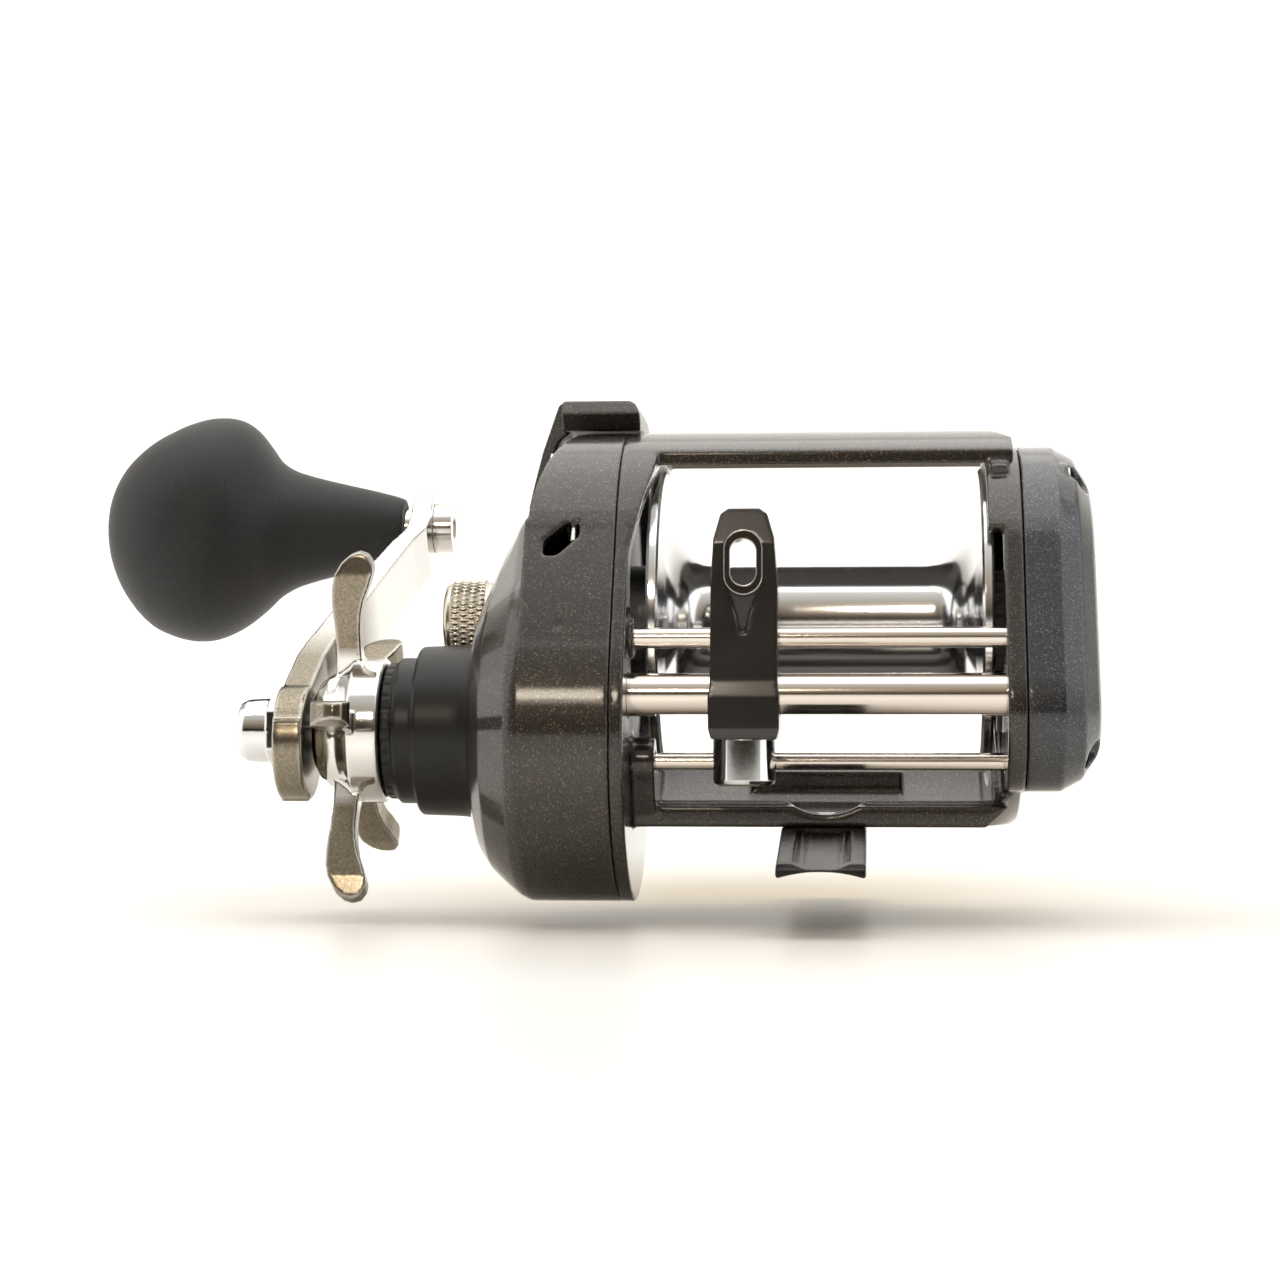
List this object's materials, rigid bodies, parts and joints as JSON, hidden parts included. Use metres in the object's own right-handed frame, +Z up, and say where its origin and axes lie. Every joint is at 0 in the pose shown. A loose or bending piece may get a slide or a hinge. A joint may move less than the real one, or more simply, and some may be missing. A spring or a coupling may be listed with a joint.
{
  "type": "trolling reel",
  "caption": "Right-hand star-drag trolling reel: open frame on an arched foot, polished spool, level-wind line guide on steel bars, thumb clutch lever, cranked arm and soft ball knob.",
  "frame": {"origin": "middle of the arched rod seat under the reel foot, midway between the two clamp-stud holes", "axes": "+X along the spool axis towards the palm side, -X towards the handle; -Y towards the rod tip, where the line leaves; +Z up from the rod"},
  "size_m": [0.1661, 0.1175, 0.0799],
  "materials": {
    "frame_paint": "glossy bronze-black metallic paint on die-cast aluminium",
    "cover_paint": "bronze-black metallic paint with fine flake under gloss lacquer",
    "palm_paint": "blue-grey gunmetal metallic paint under gloss lacquer",
    "foot_paint": "deep gloss black paint",
    "lever_paint": "satin bronze-black metallic paint",
    "cast_alloy": "bead-blasted casting",
    "spool_alloy": "bright machined and polished",
    "polished_alloy": "forged and polished",
    "knurled_alloy": "diamond knurl, champagne tint",
    "nut_chrome": "mirror plating",
    "insert_chrome": "mirror plating",
    "bar_steel": "stainless, finely polished",
    "shaft_steel": "ground stainless",
    "bearing_steel": "ground bearing steel",
    "spring_steel": "spring temper",
    "screw_steel": "stainless",
    "gear_brass": "machined brass",
    "guide_black": "satin black",
    "hub_plastic": "satin black with fine grain",
    "black_plastic": "satin black",
    "white_acetal": "natural acetal",
    "drag_fibre": "woven carbon fibre, greased",
    "seal_rubber": "matte",
    "knob_foam": "matte soft-touch"
  },
  "bodies": {
    "base": {"frame": "frame_paint", "reel_foot": "foot_paint", "foot_screws": "screw_steel", "gear_side_cover": "cover_paint", "gear_cover_screws": "screw_steel", "palm_side_cover": "palm_paint", "palm_cover_screws": "screw_steel", "set_plate": "cast_alloy", "spool_bearing_gear_side": "bearing_steel", "spool_bearing_palm_side": "bearing_steel", "yoke_posts": "shaft_steel", "yoke_springs": "spring_steel", "slot_pin": "screw_steel", "dog_pin": "shaft_steel", "main_bushing": "gear_brass", "roller_clutch": "bearing_steel", "hub_housing": "hub_plastic", "hub_seal": "seal_rubber", "worm_bushings": "white_acetal", "worm_tube": "bar_steel", "pilot_bar": "bar_steel", "lower_bar": "bar_steel"},
    "spool_unit": {"spool": "spool_alloy", "spool_shaft": "shaft_steel", "clutch_pin": "shaft_steel", "click_gear": "white_acetal"},
    "crank": {"drive_shaft": "shaft_steel", "drive_gear": "gear_brass", "drag_fibre_washers": "drag_fibre", "drag_metal_washers": "shaft_steel", "ratchet_wheel": "shaft_steel", "drag_sleeve": "shaft_steel", "spring_washers": "spring_steel", "handle_arm": "polished_alloy", "handle_nut": "nut_chrome", "nut_lock_screw": "screw_steel", "knob_post": "screw_steel", "knob_spacer": "screw_steel", "wind_drive_gear": "white_acetal"},
    "star": {"star_drag": "polished_alloy"},
    "knob": {"handle_knob": "knob_foam", "knob_bushings": "white_acetal"},
    "dog": {"ratchet_dog": "shaft_steel"},
    "yoke": {"clutch_yoke": "cast_alloy"},
    "pinion": {"pinion_gear": "gear_brass"},
    "clutch": {"clutch_lever": "lever_paint", "lever_stud": "screw_steel", "clutch_cam": "cast_alloy"},
    "cast_control": {"cast_control_cap": "knurled_alloy", "cast_control_washers": "drag_fibre"},
    "worm": {"worm_shaft": "shaft_steel", "worm_gear": "white_acetal"},
    "guide": {"line_guide": "guide_black", "guide_insert": "insert_chrome", "pawl_cap": "insert_chrome"},
    "pawl_body": {"pawl": "gear_brass"},
    "clicker": {"clicker_button": "black_plastic", "click_tongue": "shaft_steel"}
  },
  "joints": [
    {"name": "handle_spin", "type": "hinge", "parent": "base", "child": "crank", "pos_m": [-0.06, -0.0111, 0.01918], "axis": [1, 0, 0], "continuous": true},
    {"name": "star_turn", "type": "hinge", "parent": "crank", "child": "star", "pos_m": [-0.07, -0.0111, 0.01918], "axis": [1, 0, 0], "range_deg": [-180, 180]},
    {"name": "knob_spin", "type": "hinge", "parent": "crank", "child": "knob", "pos_m": [-0.1, 0.05005, 0.05406], "axis": [1, 0, 0], "continuous": true},
    {"name": "spool_spin", "type": "hinge", "parent": "base", "child": "spool_unit", "pos_m": [0, 0, 0.036], "axis": [1, 0, 0], "continuous": true},
    {"name": "yoke_slide", "type": "slide", "parent": "base", "child": "yoke", "axis": [-1, 0, 0], "range_m": [0, 0.002], "deforming": ["yoke_springs"]},
    {"name": "pinion_spin", "type": "hinge", "parent": "yoke", "child": "pinion", "pos_m": [-0.04, 0, 0.036], "axis": [1, 0, 0], "continuous": true},
    {"name": "clutch_lever", "type": "hinge", "parent": "base", "child": "clutch", "pos_m": [-0.04, 0, 0.036], "axis": [-1, 0, 0], "range_deg": [0, 25]},
    {"name": "cast_control_turn", "type": "hinge", "parent": "base", "child": "cast_control", "pos_m": [-0.055, 0, 0.036], "axis": [1, 0, 0], "range_deg": [-180, 180]},
    {"name": "worm_spin", "type": "hinge", "parent": "base", "child": "worm", "pos_m": [0, -0.02854, 0.0244], "axis": [1, 0, 0], "continuous": true},
    {"name": "line_guide_slide", "type": "slide", "parent": "base", "child": "guide", "axis": [1, 0, 0], "range_m": [-0.0075, 0.0297]},
    {"name": "pawl_swivel", "type": "hinge", "parent": "guide", "child": "pawl_body", "pos_m": [-0.0112, -0.02854, 0.02], "axis": [0, 0, 1], "range_deg": [-20, 20]},
    {"name": "clicker_slide", "type": "slide", "parent": "base", "child": "clicker", "axis": [0, 0, 1], "range_m": [0, 0.0024]},
    {"name": "ratchet_dog_swing", "type": "hinge", "parent": "base", "child": "dog", "pos_m": [-0.0368, 0.0095, 0.02], "axis": [1, 0, 0], "range_deg": [0, 14]}
  ],
  "couplings": [
    {"joint": "spool_spin", "follows": "handle_spin", "ratio": -4.1667},
    {"joint": "pinion_spin", "follows": "handle_spin", "ratio": -4.1667},
    {"joint": "worm_spin", "follows": "handle_spin", "ratio": -3.6667},
    {"joint": "yoke_slide", "follows": "clutch_lever", "m_per_rad": 0.00458}
  ]
}
